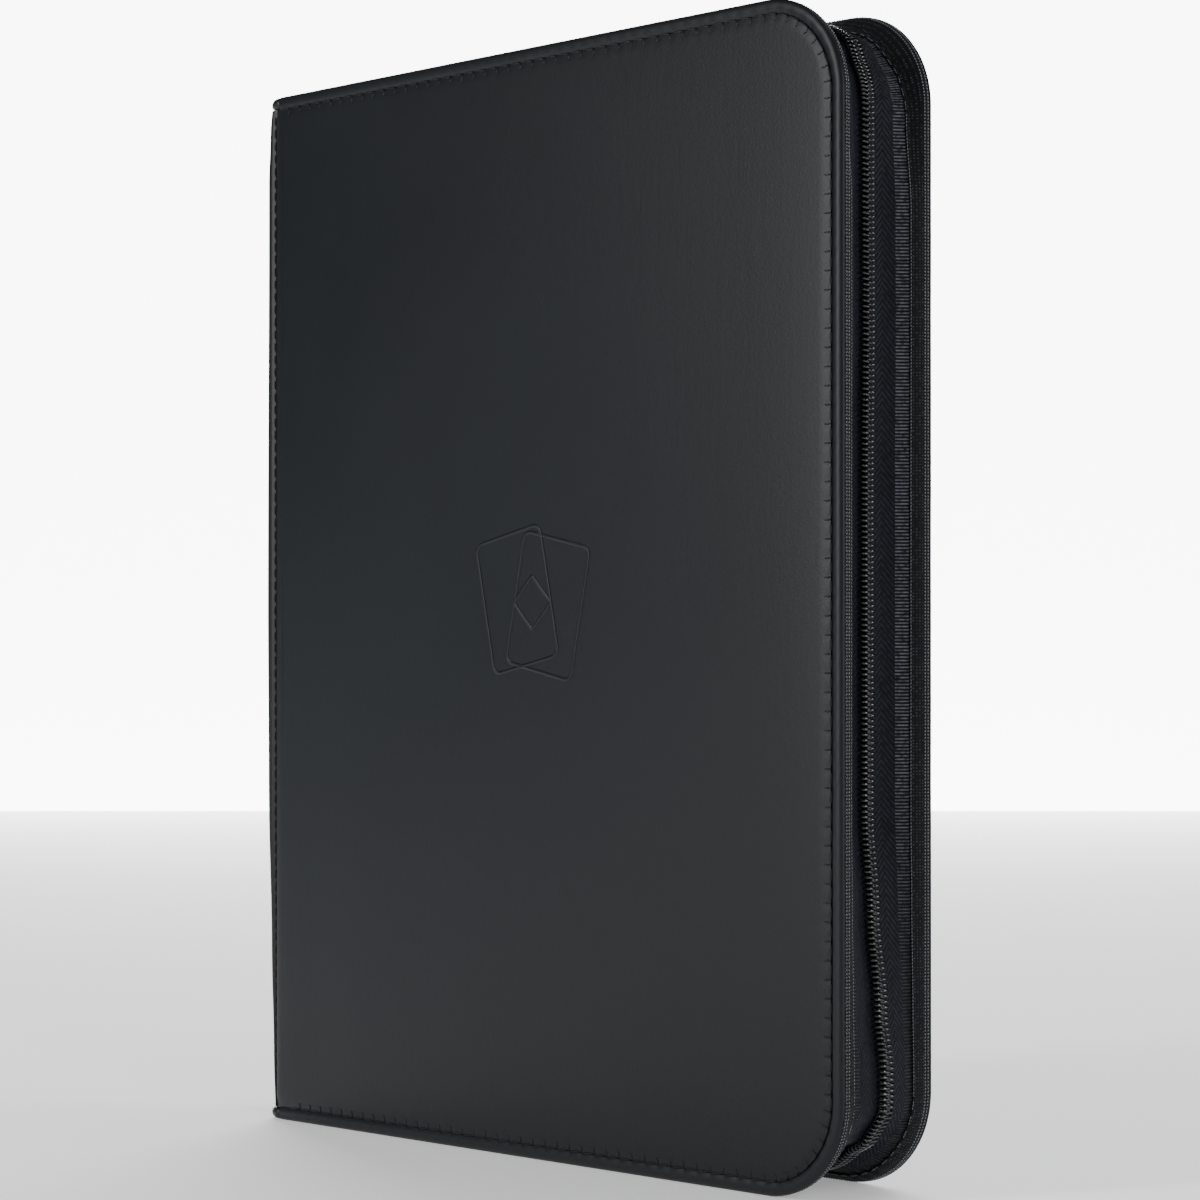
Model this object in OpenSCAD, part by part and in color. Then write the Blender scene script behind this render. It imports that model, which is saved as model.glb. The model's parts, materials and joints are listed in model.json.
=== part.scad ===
// Zip-around binder for trading cards, standing upright and closed.
// Frame: +Z up, +X from the spine to the fore edge, -Y towards the front cover.
// The origin is the centre of the footprint, on the surface the binder stands on.

/* [Overall] */
// Height of the binder
binder_h = 350; // [340:1:380]
// Width of one cover, from its crease at the spine to the fore edge
cover_w = 256; // [250:1:280]
// How far the spine stands out past the creases
spine_bulge = 9; // [9:0.5:12]
// Thickness of the closed binder, over both covers
depth = 40; // [40:0.5:44]
// Radius of the covers' two corners at the fore edge
corner_r = 30; // [24:1:40]

/* [Covers] */
// Thickness of the leather
leather_t = 1.0; // [0.8:0.1:1.2]
// Thickness of the foam under the leather
foam_t = 1.5; // [1:0.1:1.7]
// Thickness of the stiffening board
board_t = 1.6; // [1.4:0.1:1.8]
// Thickness of the lining
lining_t = 0.4; // [0.3:0.1:0.6]
// Width of the rolled hem round each cover
hem_w = 4.0; // [3.5:0.1:4.5]
// Thickness of the rolled hem
hem_t = 2.6; // [2.2:0.1:3]

/* [Zip] */
// Depth of the coil's outer face below the covers' edge
coil_recess = 5.2; // [5:0.1:5.4]
// Width of one coil, across the chain
coil_w = 2.7; // [2.4:0.1:2.7]
// Height of the coil
coil_h = 2.4; // [2.2:0.1:2.4]
// Thickness of the zip's woven tape
tape_t = 0.6; // [0.4:0.1:0.6]
// Length of the slider, along the chain
slider_l = 12; // [10:0.5:12]
// Width of the slider's top plate
slider_w = 9.5; // [9:0.1:10]
// Length of the pull, from its hinge to its tip
pull_l = 26; // [22:1:32]

/* [Pages] */
// Number of pages
page_count = 20; // [10:2:20]
// Distance from one page to the next
page_pitch = 1.5; // [1.45:0.01:1.55]
// Thickness of a page, over its films
page_t = 1.2; // [1.1:0.05:1.2]
// Thickness of one film
film_t = 0.2; // [0.15:0.05:0.2]
// Width of a pocket, for a card 63 wide
pocket_w = 68; // [66:1:69]
// Height of a pocket, for a card 88 high
pocket_h = 95; // [92:1:98]
// Width of the weld between pockets
weld_w = 3; // [2.5:0.5:3.5]

/* [Hidden] */
$fn = 64;
PAGES = [for (k = [1 : page_count]) str("page_", k < 10 ? "0" : "", k)];

// a little more, so that a cut passes right through
eps = 0.1;
// gap between a cover and the spine at the crease, on each side of the hinge line
crease_gap = 0.15;
x_spine = -(cover_w + spine_bulge) / 2;
x_crease = x_spine + spine_bulge;
x_fore = x_spine + spine_bulge + cover_w;
cover_t = leather_t + foam_t + board_t + lining_t;
half = depth / 2;
// distance of a cover's inner face from the middle plane
inner_a = half - cover_t;
hem_round = 0.9;
spine_round = 6;
spine_board_t = 2;
// how far the spine's board and lining stop short of its ends
spine_in = 10;

// the covers' stitch line, in a groove just inside the hem
groove_w = 1.2;
groove_d = 0.5;
thread_t = 0.5;
// gap between the thread and each side of its groove, and where the rows begin
thread_gap = 0.2;
thread_start = 0.5;
// spine stitching: how far from each crease, and the thread's width
spine_stitch_in = 3.2;
spine_thread_w = 0.8;
spine_stitch_end = 4;

// where the gusset and tape, the zip's stops and the coils begin, past the crease
x_tape = x_crease + 5.2;
x_stop = x_crease + 3;
tab_t = 1.5;
// the front coil begins clear of the slider's swing as the back cover opens
x_front_coil = x_crease + 23.5;
tape_top = coil_recess + coil_h + 0.1;
tape_edge = 1.6;
// where the tape leaves the flat, and where it ends under the gusset
tape_flat = 6.4;
tape_end = 13.4;
tape_rise = 3.7;
// the gusset's edge at the hem, its bend, and its edge over the tape: depth and distance
gusset_t = 1.0;
gusset_hem = [0.5, half - hem_t];
gusset_bend = [2.5, 13.0];
gusset_end = [3.5, 11.0];
coil_edge = 0.35;

// slider
x_slider = x_crease + 12.5;
plate_t = 1.1;
slip = 0.2;
plate_bottom = coil_recess - slip;
plate_top = plate_bottom - plate_t;
under_top = tape_top + tape_t + 0.3;
under_bottom = under_top + 1;
flange_in = coil_edge + coil_w + 0.35;
bridge_w = 2.6;
bridge_t = 1.0;
bridge_gap = 1.6;
bridge_top = plate_top - bridge_gap - bridge_t;
bridge_l = 8;
bridge_post = 1.4;
pull_pin_r = 0.65;
pull_axis = plate_top - 0.8;
pull_w = 7;
arm_in = 2.0;
arm_out = 3.2;
arm_l = 8;

// pages: each turns about its own line at the binding
x_binding = x_crease + 5;
x_page = x_crease + 5.5;
web_l = 10;
web_t = 0.4;
web_start = 0.4;
page_w = 3 * pocket_w + 4 * weld_w;
page_h = 3 * pocket_h + 4 * weld_w;
page_z = (binder_h - page_h) / 2;
cavity_t = (page_t - 3 * film_t) / 2;
mouth_w = 2;
binding_a = page_count * page_pitch / 2 - 0.2;

// ---- shapes used by both covers ----

// a cover's outline, square at the spine and rounded at the fore edge
module cover_outline(inset, spine_inset) {
    r = corner_r - inset;
    x0 = x_crease + spine_inset;
    xc = x_fore - corner_r;
    translate([x0, inset]) square([xc - x0, binder_h - 2 * inset]);
    translate([xc, corner_r]) square([r, binder_h - 2 * corner_r]);
    for (z = [corner_r, binder_h - corner_r]) translate([xc, z]) circle(r);
}

// a flat layer of the front cover between two distances from the middle plane
module layer(inset, spine_inset, outer_a, inner) {
    translate([0, -inner, 0])
        rotate([90, 0, 0])
            linear_extrude(outer_a - inner) cover_outline(inset, spine_inset);
}

// sweeps a section round the three open sides of the front cover, starting at x0;
// the section's x is minus the depth below the edge, and its y is minus the distance
// from the middle plane
module round_edge(x0) {
    xc = x_fore - corner_r;
    translate([xc, 0, binder_h]) rotate([0, -90, 0]) linear_extrude(xc - x0) children();
    translate([x0, 0, 0]) rotate([0, 90, 0]) linear_extrude(xc - x0) children();
    translate([x_fore, 0, corner_r]) linear_extrude(binder_h - 2 * corner_r) children();
    translate([xc, 0, corner_r])
        rotate([-90, 0, 0])
            rotate_extrude(angle = 90) translate([corner_r, 0]) children();
    translate([xc, 0, binder_h - corner_r])
        rotate([-90, 0, 0]) rotate([0, 0, -90])
            rotate_extrude(angle = 90) translate([corner_r, 0]) children();
}

// section of the rolled hem, rounded on its two outer edges
module hem_section() {
    r = hem_round;
    translate([-hem_w, -half]) square([hem_w - r, hem_t]);
    translate([-hem_w, -half + r]) square([hem_w, hem_t - 2 * r]);
    for (a = [half - r, half - hem_t + r]) translate([-r, -a]) circle(r);
}

// ---- one cover, written for the front; the back is its mirror image ----

module leather() {
    difference() {
        union() {
            layer(hem_w - eps, crease_gap, half, half - leather_t);
            round_edge(x_crease + crease_gap) hem_section();
        }
        round_edge(x_crease + crease_gap - eps)
            translate([-hem_w - groove_w, -half - eps]) square([groove_w, groove_d + eps]);
    }
}

module foam() {
    layer(hem_w + 0.1, 1, half - leather_t, half - leather_t - foam_t);
}

module board() {
    layer(hem_w + 0.1, 1, inner_a + lining_t + board_t, inner_a + lining_t);
}

module lining() {
    layer(hem_w + 0.1, 1, inner_a + lining_t, inner_a);
}

// the thread lies in the groove
module stitching() {
    round_edge(x_crease + crease_gap + thread_start)
        translate([-hem_w - groove_w + thread_gap, -half + groove_d - thread_t])
            square([groove_w - 2 * thread_gap, thread_t]);
}

// woven band from the hem down to the zip's tape
module gusset() {
    face = [gusset_hem, gusset_bend, gusset_end];
    round_edge(x_tape) polygon(-concat(face, [for (i = [2, 1, 0]) face[i] + [gusset_t, 0]]));
}

// flat beside the coil, then sloping up under the gusset
module zip_tape() {
    face = [[tape_top, tape_edge], [tape_top, tape_flat], [tape_top - tape_rise, tape_end]];
    round_edge(x_tape)
        polygon(-concat(face, [for (i = [2, 1, 0]) face[i] + [tape_t, 0]]));
}

module coil_section() {
    r = coil_h / 2;
    a0 = coil_edge + r;
    a1 = coil_edge + coil_w - r;
    translate([-coil_recess - coil_h, -a1]) square([coil_h, a1 - a0]);
    for (a = [a0, a1]) translate([-coil_recess - r, -a]) circle(r);
}

// one side of the coil; x_top and x_bottom are where its two ends lie
module zip_coil(x_top) {
    intersection() {
        round_edge(x_tape + 0.6) coil_section();
        union() {
            translate([x_crease, -half, -eps]) cube([cover_w + eps, half, binder_h / 2 + eps]);
            translate([x_top, -half, binder_h / 2 - eps])
                cube([x_fore - x_top + eps, half, binder_h / 2 + 2 * eps]);
        }
    }
}

module front_leather() { color("#26282b") leather(); }
module front_foam() { color("#3a3a3a") foam(); }
module front_board() { color("#8a7f70") board(); }
module front_lining() { color("#1b1c1e") lining(); }
module front_stitching() { color("#141518") stitching(); }
module front_gusset() { color("#2c2d33") gusset(); }
module front_zip_tape() { color("#22232b") zip_tape(); }
module front_zip_coil() { color("#17181b") zip_coil(x_front_coil); }

module back_leather() { color("#26282b") mirror([0, 1, 0]) leather(); }
module back_foam() { color("#3a3a3a") mirror([0, 1, 0]) foam(); }
module back_board() { color("#8a7f70") mirror([0, 1, 0]) board(); }
module back_lining() { color("#1b1c1e") mirror([0, 1, 0]) lining(); }
module back_stitching() { color("#141518") mirror([0, 1, 0]) stitching(); }
module back_gusset() { color("#2c2d33") mirror([0, 1, 0]) gusset(); }
module back_zip_tape() { color("#22232b") mirror([0, 1, 0]) zip_tape(); }
module back_zip_coil() { color("#17181b") mirror([0, 1, 0]) zip_coil(x_tape); }

// ---- spine ----

// the spine's outline from above, a given distance inside the leather's face
module spine_outline(in) {
    r = spine_round - in;
    xc = x_spine + spine_round;
    x1 = x_crease - crease_gap;
    translate([x_spine + in, -half + spine_round]) square([x1 - x_spine - in, depth - 2 * spine_round]);
    translate([xc, -half + in]) square([x1 - xc, depth - 2 * in]);
    intersection() {
        for (y = [-half + spine_round, half - spine_round]) translate([xc, y]) circle(r);
        translate([x_spine, -half]) square([x1 - x_spine, depth]);
    }
}

module spine_leather() {
    color("#26282b")
        difference() {
            linear_extrude(binder_h)
                difference() {
                    spine_outline(0);
                    spine_outline(leather_t);
                    translate([x_spine + spine_round, -half + leather_t])
                        square([spine_bulge, depth - 2 * leather_t]);
                }
            // grooves for the two rows of stitching beside the creases
            for (side = [-1, 1])
                translate([x_crease - spine_stitch_in, side * half, binder_h / 2])
                    cube([spine_thread_w + 0.4, 2 * groove_d, binder_h + 2 * eps], center = true);
        }
}

module spine_stitching() {
    color("#141518")
        for (side = [-1, 1])
            translate([x_crease - spine_stitch_in, side * (half - thread_t / 2), binder_h / 2])
                cube([spine_thread_w, thread_t, binder_h - 2 * spine_stitch_end], center = true);
}

module spine_board() {
    color("#8a7f70")
        translate([x_spine + leather_t, -half + spine_round, spine_in])
            cube([spine_board_t, depth - 2 * spine_round, binder_h - 2 * spine_in]);
}

module spine_lining() {
    color("#1b1c1e")
        translate([x_spine + leather_t + spine_board_t, -half + spine_round - 3, spine_in])
            cube([lining_t, depth - 2 * spine_round + 6, binder_h - 2 * spine_in]);
}

// welded stack of the pages' inner edges, fixed to the spine
module page_binding() {
    x0 = x_spine + leather_t + spine_board_t + lining_t;
    color("#202124")
        translate([x0, -binding_a, page_z])
            cube([x_binding - x0, 2 * binding_a, page_h]);
}

// woven tab that closes one end of the gusset at the spine, and carries the zip's stop
module end_tab() {
    x0 = x_spine + leather_t + spine_board_t + lining_t;
    translate([x0, -inner_a + 1, -under_bottom + tab_t])
        cube([x_stop - 0.1 - x0, 2 * inner_a - 2, tab_t]);
}

// clip over the end of both coils
module zip_stop() {
    translate([x_stop - 0.1, -coil_edge - coil_w, -tape_top - tape_t])
        cube([x_tape - x_stop - 0.1, 2 * (coil_edge + coil_w), tape_top + tape_t - coil_recess]);
}

module top_end_tab() { color("#22232b") translate([0, 0, binder_h]) end_tab(); }
module bottom_end_tab() { color("#22232b") mirror([0, 0, 1]) end_tab(); }
module top_zip_stop() { color("#9a9ca0") translate([0, 0, binder_h]) zip_stop(); }
module bottom_zip_stop() { color("#9a9ca0") mirror([0, 0, 1]) zip_stop(); }

// ---- slider ----

// a block of the slider: its length, half widths and depths below the covers' edge
module slider_block(x0, x1, a0, a1, d0, d1) {
    translate([x_slider + x0, a0, binder_h - d1]) cube([x1 - x0, a1 - a0, d1 - d0]);
}

module slider_body() {
    l = slider_l / 2;
    w = slider_w / 2;
    b = bridge_l / 2;
    color("#8d9096") {
        slider_block(-l, l, -w, w, plate_top, plate_bottom);
        slider_block(-l, l, -w + 0.3, w - 0.3, under_top, under_bottom);
        // sides that hold the coils in
        slider_block(-l, l, -w, -flange_in, plate_bottom - eps, tape_top - 0.4);
        slider_block(-l, l, flange_in, w, plate_bottom - eps, tape_top - 0.4);
        // thin wedge between the coils, at the end that parts them
        slider_block(-l, -l + 3.5, -0.15, 0.15, plate_bottom - eps, under_top + eps);
        // bridge that carries the pull
        slider_block(-b, b, -bridge_w / 2, bridge_w / 2, bridge_top, bridge_top + bridge_t);
        slider_block(-b, -b + bridge_post, -bridge_w / 2, bridge_w / 2, bridge_top, plate_top + eps);
        slider_block(b - bridge_post, b, -bridge_w / 2, bridge_w / 2, bridge_top, plate_top + eps);
    }
}

// flat tab on two arms, joined by the pin that turns under the bridge
module slider_pull() {
    r = pull_pin_r;
    color("#8d9096")
        translate([x_slider, 0, binder_h - pull_axis])
            difference() {
                union() {
                    rotate([90, 0, 0]) cylinder(r = r, h = 2 * arm_out, center = true);
                    for (side = [-1, 1])
                        translate([0, side * (arm_in + arm_out) / 2 - (arm_out - arm_in) / 2, -r])
                            cube([arm_l, arm_out - arm_in, 2 * r]);
                    translate([arm_l - 1, -pull_w / 2, -r]) cube([pull_l - arm_l + 1 - pull_w / 2, pull_w, 2 * r]);
                    translate([pull_l - pull_w / 2, 0, -r]) cylinder(r = pull_w / 2, h = 2 * r);
                }
                translate([pull_l - pull_w / 2, 0, -r - eps]) cylinder(r = 1.5, h = 2 * r + 2 * eps);
            }
}

// ---- pages ----

// one pocket: a thin space open at a slit beside its edge nearest the spine
module pocket_space() {
    cube([pocket_w, cavity_t, pocket_h]);
    translate([0, -film_t - eps, 0]) cube([mouth_w, cavity_t + film_t + eps, pocket_h]);
}

// three films welded round nine pockets on each face, on a thin bendable margin
module page(k) {
    y = (k - (page_count + 1) / 2) * page_pitch;
    color("#15161a")
        translate([x_page, y, page_z]) {
            translate([web_start, -web_t / 2, 0]) cube([web_l - web_start + eps, web_t, page_h]);
            translate([web_l, 0, 0])
                difference() {
                    translate([0, -page_t / 2, 0]) cube([page_w, page_t, page_h]);
                    for (column = [0 : 2])
                        for (row = [0 : 2])
                            for (side = [0, 1])
                                mirror([0, side, 0])
                                    translate([
                                        weld_w + column * (pocket_w + weld_w),
                                        -page_t / 2 + film_t,
                                        weld_w + row * (pocket_h + weld_w)
                                    ])
                                        pocket_space();
                }
        }
}

spine_leather();
spine_board();
spine_lining();
spine_stitching();
page_binding();
top_end_tab();
bottom_end_tab();
top_zip_stop();
bottom_zip_stop();
front_leather();
front_foam();
front_board();
front_lining();
front_stitching();
front_gusset();
front_zip_tape();
front_zip_coil();
back_leather();
back_foam();
back_board();
back_lining();
back_stitching();
back_gusset();
back_zip_tape();
back_zip_coil();
slider_body();
slider_pull();
for (k = [1 : page_count])
    page(k);
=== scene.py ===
import json
import math

import bmesh
import bpy
from mathutils import Matrix, Vector, noise
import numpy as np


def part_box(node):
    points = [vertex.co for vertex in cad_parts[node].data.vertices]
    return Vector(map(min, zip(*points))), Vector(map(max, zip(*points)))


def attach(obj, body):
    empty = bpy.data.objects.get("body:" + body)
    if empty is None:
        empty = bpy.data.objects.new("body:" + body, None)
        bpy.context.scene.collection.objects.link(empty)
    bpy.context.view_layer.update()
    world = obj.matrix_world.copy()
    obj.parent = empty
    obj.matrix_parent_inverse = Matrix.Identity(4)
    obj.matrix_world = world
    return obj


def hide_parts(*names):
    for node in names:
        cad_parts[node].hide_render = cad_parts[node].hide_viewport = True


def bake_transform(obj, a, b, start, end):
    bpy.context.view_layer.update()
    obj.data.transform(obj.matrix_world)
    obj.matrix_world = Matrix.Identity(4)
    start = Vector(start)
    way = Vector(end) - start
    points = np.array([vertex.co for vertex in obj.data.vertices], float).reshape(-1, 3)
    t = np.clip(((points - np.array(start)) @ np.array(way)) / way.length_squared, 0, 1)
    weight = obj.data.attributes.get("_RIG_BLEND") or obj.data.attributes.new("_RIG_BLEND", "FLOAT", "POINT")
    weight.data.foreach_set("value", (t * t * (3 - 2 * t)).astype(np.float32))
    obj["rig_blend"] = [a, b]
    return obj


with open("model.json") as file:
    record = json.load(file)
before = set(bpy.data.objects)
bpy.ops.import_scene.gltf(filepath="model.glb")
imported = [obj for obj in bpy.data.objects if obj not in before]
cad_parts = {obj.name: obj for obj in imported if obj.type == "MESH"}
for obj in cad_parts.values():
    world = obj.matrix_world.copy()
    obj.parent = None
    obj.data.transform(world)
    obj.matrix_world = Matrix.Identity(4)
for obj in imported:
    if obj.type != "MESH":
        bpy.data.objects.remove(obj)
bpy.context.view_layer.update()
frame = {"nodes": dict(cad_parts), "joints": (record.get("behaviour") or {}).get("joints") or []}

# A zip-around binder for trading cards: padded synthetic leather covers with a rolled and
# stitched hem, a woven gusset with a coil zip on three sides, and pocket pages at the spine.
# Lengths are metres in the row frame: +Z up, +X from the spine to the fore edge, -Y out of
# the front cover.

MM = 0.001

# ---- measures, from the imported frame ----

cover_low, cover_high = (Vector(p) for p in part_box("front_leather"))
page_low, page_high = (Vector(p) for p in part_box("page_01"))
HINGE = {j["name"]: Vector(j["pos_m"]) for j in frame["joints"] if "pos_m" in j}
CREASE_X = HINGE["front_cover_hinge"].x
FORE_X = cover_high.x
TOP = cover_high.z
HALF = -cover_low.y
CORNER_R = 30 * MM
CORNER_X = FORE_X - CORNER_R
ARC = math.pi / 2 * CORNER_R
FORE_RUN = TOP - 2 * CORNER_R
GUSSET_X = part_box("front_gusset")[0][0]

STITCH_IN = 4.7 * MM      # stitch line, inside the cover's edge
STITCH_PITCH = 5.5 * MM
SPINE_STITCH_PITCH = 4.3 * MM
COIL_PITCH = 1.6 * MM
SIDES = {"front": -1, "back": 1}


# ---- small helpers ----

def linear(hex_code):
    """An sRGB hex colour as linear red, green, blue and alpha."""
    parts = [int(hex_code[i:i + 2], 16) / 255 for i in (1, 3, 5)]
    return [p / 12.92 if p <= 0.04045 else ((p + 0.055) / 1.055) ** 2.4 for p in parts] + [1.0]


def smooth(t):
    t = min(max(t, 0.0), 1.0)
    return t * t * (3 - 2 * t)


def between(keys, at):
    """A smooth curve through (place, value) keys."""
    if at <= keys[0][0]:
        return keys[0][1]
    for (a, u), (b, v) in zip(keys, keys[1:]):
        if at <= b:
            return u + (v - u) * smooth((at - a) / (b - a))
    return keys[-1][1]


def piece(bm, name, material, smooth_shade=True, recalc=True):
    """Turns a bmesh into a finished object at the origin."""
    if recalc:
        bmesh.ops.recalc_face_normals(bm, faces=bm.faces)
    mesh = bpy.data.meshes.new(name)
    bm.to_mesh(mesh)
    bm.free()
    mesh.polygons.foreach_set("use_smooth", [smooth_shade] * len(mesh.polygons))
    mesh.set_sharp_from_angle(angle=math.radians(55))
    mesh.materials.append(material)
    obj = bpy.data.objects.new(name, mesh)
    bpy.context.scene.collection.objects.link(obj)
    return obj


def settle(obj, body, slot, *nodes):
    """Rides a piece on its body and hides the nodes that it stands for; slot, its finish, is not used."""
    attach(obj, body)
    if nodes:
        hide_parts(*nodes)
    return obj


# ---- the open edge: top run, top corner, fore edge, bottom corner, bottom run ----

def edge_at(s, start_x):
    """The point on the covers' outline s along from the top of the spine, and its outward
    direction, both in the XZ plane."""
    run = CORNER_X - start_x
    if s < run:
        return Vector((start_x + s, TOP)), Vector((0, 1))
    s -= run
    if s < ARC:
        out = Vector((math.sin(s / CORNER_R), math.cos(s / CORNER_R)))
        return Vector((CORNER_X, TOP - CORNER_R)) + out * CORNER_R, out
    s -= ARC
    if s < FORE_RUN:
        return Vector((FORE_X, TOP - CORNER_R - s)), Vector((1, 0))
    s -= FORE_RUN
    if s < ARC:
        out = Vector((math.cos(s / CORNER_R), -math.sin(s / CORNER_R)))
        return Vector((CORNER_X, CORNER_R)) + out * CORNER_R, out
    return Vector((CORNER_X - (s - ARC), 0)), Vector((0, -1))


def edge_length(start_x):
    return 2 * (CORNER_X - start_x) + 2 * ARC + FORE_RUN


def on_edge(s, start_x, depth, y):
    """A point a given depth inside the outline."""
    p, out = edge_at(s, start_x)
    p = p - out * depth
    return Vector((p.x, y, p.y))


# how much deeper the zip lies than its plain depth: (millimetres past the top corner's start, mm)
ZIP_SINK = [(-16, 0), (0, -0.6), (20, -0.3), (31, 1.8), (64, 1.7), (108, 1.5), (165, 2.0), (255, 2.0),
            (284, -0.2), (312, -3.1), (331, -5.3), (340, -5.3), (352, -2.4), (362, 0.2), (420, 0)]


# the spare cloth at the top corner, which lies deeper beside the tape
CORNER_SAG = [(-12, 0), (8, 3.2), (26, 4.2), (38, 3.2), (52, 1.7), (78, 0)]


def corner_sag(s, start_x, a):
    past = (s - (CORNER_X - start_x)) / MM
    return between(CORNER_SAG, past) * MM * smooth((a - 8) / 4) * smooth((17.5 - a) / 3.5)


def zip_sink(s, start_x):
    past = (s - (CORNER_X - start_x)) / MM
    return between(ZIP_SINK, past) * MM


def gathers(s, start_x, a, side):
    """Small folds across the cloth where it turns a corner, -1 to 1."""
    share = 0.0
    for corner in (CORNER_X - start_x, CORNER_X - start_x + ARC + FORE_RUN):
        past = s - corner
        share = max(share, smooth((past + 8 * MM) / (16 * MM)) * smooth((ARC + 8 * MM - past) / (16 * MM)))
    if share <= 0:
        return 0.0
    low = smooth((HALF / MM - 3.5 - a) / 3) * smooth((a - 5) / 3)
    drift = 2.2 * noise.noise(Vector((s * 90, side * 5.0, a * 0.07)))
    return share * low * math.sin(2 * math.pi * s / (4.6 * MM) + drift)


def sweep(section, start_x, end_trim, step, side, sink=False, ripple=0.0):
    """Extrudes a closed section along the open edge. The section's points are (depth below
    the edge, distance from the middle plane, share of the zip's sink), in millimetres.
    Each vertex keeps how far along the edge and how far from the middle plane it lies."""
    bm = bmesh.new()
    along = bm.verts.layers.float.new("along")
    across = bm.verts.layers.float.new("across")
    total = edge_length(start_x) - end_trim
    count = max(2, round((total - end_trim) / step))

    def put(vert, s, point):
        depth, a, share = point
        fall = zip_sink(s, start_x) * share + corner_sag(s, start_x, a) if sink else 0.0
        wave = 0.0
        if ripple:
            wave = ripple * share * noise.noise(Vector((s * 55, a * 0.12, side * 3.0)))
            wave += ripple * gathers(s, start_x, a, side)
        vert.co = on_edge(s, start_x, depth * MM + fall + wave, side * (a * MM + wave * 0.5))
        vert[along] = s
        vert[across] = a * MM

    ring = [bm.verts.new() for _ in section]
    for vert, point in zip(ring, section):
        put(vert, end_trim, point)
    edges = [bm.edges.new((ring[i - 1], ring[i])) for i in range(len(ring))]
    bm.faces.new(ring)
    for n in range(1, count + 1):
        s = end_trim + (total - end_trim) * n / count
        made = bmesh.ops.extrude_edge_only(bm, edges=edges)["geom"]
        fresh = {v for v in made if isinstance(v, bmesh.types.BMVert)}
        ring = [next(e.other_vert(v) for e in v.link_edges if e.other_vert(v) in fresh) for v in ring]
        edges = [bm.edges.get((ring[i - 1], ring[i])) for i in range(len(ring))]
        for vert, point in zip(ring, section):
            put(vert, s, point)
    bm.faces.new(ring)
    return bm


# ---- materials ----

def add(tree, kind, settings=None, links=None):
    """Adds a node, sets its fields and unlinked sockets, and links its inputs."""
    node = tree.nodes.new(kind)
    for key, value in (settings or {}).items():
        if isinstance(key, int) or key in node.inputs:
            node.inputs[key].default_value = value
        else:
            setattr(node, key, value)
    for key, source in (links or {}).items():
        tree.links.new(source, node.inputs[key])
    return node


def new_material(name, roughness, **sockets):
    """An empty material: its tree, its shader and where the object's own coordinates come out."""
    material = bpy.data.materials.new(name)
    material.use_nodes = True
    tree = material.node_tree
    tree.nodes.clear()
    shader = add(tree, "ShaderNodeBsdfPrincipled", {"Roughness": roughness})
    for key, value in sockets.items():
        shader.inputs[key.replace("_", " ")].default_value = value
    output = add(tree, "ShaderNodeOutputMaterial")
    tree.links.new(shader.outputs[0], output.inputs["Surface"])
    place = add(tree, "ShaderNodeTexCoord").outputs["Object"]
    return material, tree, shader, place


def mixed(tree, share, low, high):
    """A colour between two hex values."""
    ramp = add(tree, "ShaderNodeMix", {"data_type": "RGBA"}, {"Factor": share})
    ramp.inputs[6].default_value = linear(low)
    ramp.inputs[7].default_value = linear(high)
    return ramp.outputs[2]


def leather_finish(name, low, high):
    """Synthetic leather: polyurethane film embossed with a fine grain on a cloth backing. The
    grain is about 0.7 mm across; it is soft to the light, with a low broad sheen."""
    material, tree, shader, place = new_material(name, 0.5, Specular_IOR_Level=0.3)
    cloud = add(tree, "ShaderNodeTexNoise", {"Scale": 9.0, "Detail": 3.0}, {"Vector": place})
    tree.links.new(mixed(tree, cloud.outputs[0], low, high), shader.inputs["Base Color"])
    rough = add(tree, "ShaderNodeMapRange", {"To Min": 0.37, "To Max": 0.47}, {"Value": cloud.outputs[0]})
    tree.links.new(rough.outputs[0], shader.inputs["Roughness"])
    warp = add(tree, "ShaderNodeTexNoise", {"Scale": 500.0, "Detail": 2.0}, {"Vector": place})
    bent = add(tree, "ShaderNodeVectorMath", {"operation": "SCALE", "Scale": 0.0006},
               {0: warp.outputs["Color"]})
    moved = add(tree, "ShaderNodeVectorMath", {"operation": "ADD"}, {0: place, 1: bent.outputs[0]})
    grain = add(tree, "ShaderNodeTexVoronoi", {"Scale": 1 / (0.75 * MM), "feature": "SMOOTH_F1"},
                {"Vector": moved.outputs[0]})
    # long shallow creases that run up the cover
    stretched = add(tree, "ShaderNodeMapping", {"Scale": (1.0, 1.0, 0.16)}, {"Vector": place})
    crease = add(tree, "ShaderNodeTexNoise", {"Scale": 330.0, "Detail": 4.0},
                 {"Vector": stretched.outputs[0]})
    summed = add(tree, "ShaderNodeMath", {"operation": "MULTIPLY_ADD", 1: 1.1},
                 {0: crease.outputs[0], 2: grain.outputs["Distance"]})
    bump = add(tree, "ShaderNodeBump", {"Strength": 0.5, "Distance": 0.05 * MM},
               {"Height": summed.outputs[0]})
    tree.links.new(bump.outputs[0], shader.inputs["Normal"])
    return material


def wave_lines(tree, value, spacing):
    """0 to 1 ridges, a given distance apart, across a length in metres."""
    turned = add(tree, "ShaderNodeMath", {"operation": "MULTIPLY", 1: 2 * math.pi / spacing}, {0: value})
    sine = add(tree, "ShaderNodeMath", {"operation": "SINE"}, {0: turned.outputs[0]})
    return add(tree, "ShaderNodeMapRange", {"From Min": -1.0}, {"Value": sine.outputs[0]}).outputs[0]


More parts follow.
